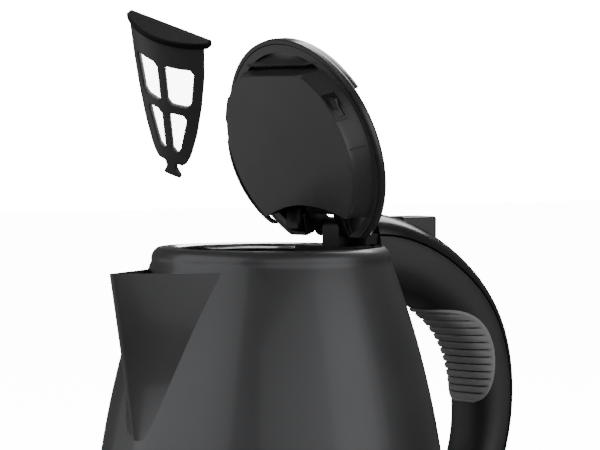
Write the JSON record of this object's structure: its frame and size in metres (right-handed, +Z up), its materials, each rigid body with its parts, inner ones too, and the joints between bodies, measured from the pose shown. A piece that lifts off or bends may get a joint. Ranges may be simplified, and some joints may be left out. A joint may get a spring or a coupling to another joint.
{
  "type": "cordless electric kettle",
  "caption": "Cordless kettle: lacquered steel jug with V spout, hinged latching lid, loop handle with soft grip, lift-out spout strainer and round power base",
  "frame": {"origin": "on the jug's axis, in the plane that the base's foot ring stands on", "axes": "+Z up along the jug's axis, +X towards the handle, -X towards the spout, +Y to the right seen from the handle"},
  "size_m": [0.2271, 0.161, 0.2868],
  "materials": {
    "body_lacquer": "dark gunmetal lacquer on brushed stainless steel, satin gloss",
    "black_gloss": "black moulded plastic, semi gloss",
    "black_matte": "black moulded plastic, fine satin texture",
    "lid_inner": "dark grey heat-proof plastic, smooth satin",
    "soft_grip": "mid grey soft-touch rubber, moulded ribs",
    "stainless": "bright stainless steel sheet",
    "aluminium": "plain aluminium plate",
    "brass": "stamped brass contact strip",
    "silicone": "translucent white silicone",
    "foot_rubber": "black anti-slip rubber",
    "steel_wire": "zinc-plated steel",
    "mesh": "fine white nylon mesh"
  },
  "bodies": {
    "base": {"base_cover": "black_matte", "base_plate": "black_matte", "base_foot": "foot_rubber", "base_screws": "steel_wire", "base_socket": "black_matte", "base_contacts": "brass", "cord_gland": "foot_rubber"},
    "jug": {"jug_shell": "body_lacquer", "spout": "body_lacquer", "jug_skirt": "black_matte", "jug_bottom_cover": "black_matte", "jug_bottom_screws": "steel_wire", "floor_plate": "stainless", "floor_seal": "silicone", "heat_spreader": "aluminium", "heating_element": "stainless", "jug_connector": "black_matte", "control_unit": "black_matte", "bimetal_discs": "brass", "handle_shell": "black_matte", "handle_cover": "black_gloss", "handle_grip": "soft_grip", "steam_tube": "silicone", "button_spring": "steel_wire", "hinge_bracket": "black_matte", "hinge_pin": "steel_wire"},
    "lid": {"lid_shell": "black_gloss", "lid_crown": "black_gloss", "lid_cup": "lid_inner", "lid_hinge_arms": "black_matte", "latch_guide": "black_matte", "latch_springs": "steel_wire"},
    "bolt_near": {"latch_bolt_near": "black_matte"},
    "bolt_far": {"latch_bolt_far": "black_matte"},
    "button": {"lid_button": "black_matte"},
    "switch": {"power_switch": "black_gloss"},
    "strainer": {"strainer_frame": "black_matte", "strainer_mesh": "mesh"}
  },
  "joints": [
    {"name": "jug_lift", "type": "slide", "parent": "base", "child": "jug", "axis": [0, 0, 1], "range_m": [0, 0.06]},
    {"name": "lid_hinge", "type": "hinge", "parent": "jug", "child": "lid", "pos_m": [0.0385, 0, 0.192], "axis": [0, 1, 0], "range_deg": [-71, 0]},
    {"name": "bolt_near_slide", "type": "slide", "parent": "lid", "child": "bolt_near", "axis": [0, -1, 0], "range_m": [0, 0.0035]},
    {"name": "bolt_far_slide", "type": "slide", "parent": "lid", "child": "bolt_far", "axis": [0, 1, 0], "range_m": [0, 0.0035]},
    {"name": "button_press", "type": "slide", "parent": "jug", "child": "button", "axis": [0, 0, -1], "range_m": [0, 0.004], "stiffness_N_per_m": 300, "springref_m": -0.002, "deforming": ["button_spring"]},
    {"name": "switch_rock", "type": "hinge", "parent": "jug", "child": "switch", "pos_m": [0.11387, 0, 0.05967], "axis": [0, 1, 0], "range_deg": [0, 12]},
    {"name": "strainer_lift", "type": "slide", "parent": "jug", "child": "strainer", "axis": [0.4231, 0.4361, -0.7942], "range_m": [0, 0.035]}
  ],
  "couplings": [
    {"joint": "bolt_far_slide", "follows": "bolt_near_slide", "ratio": 1}
  ]
}
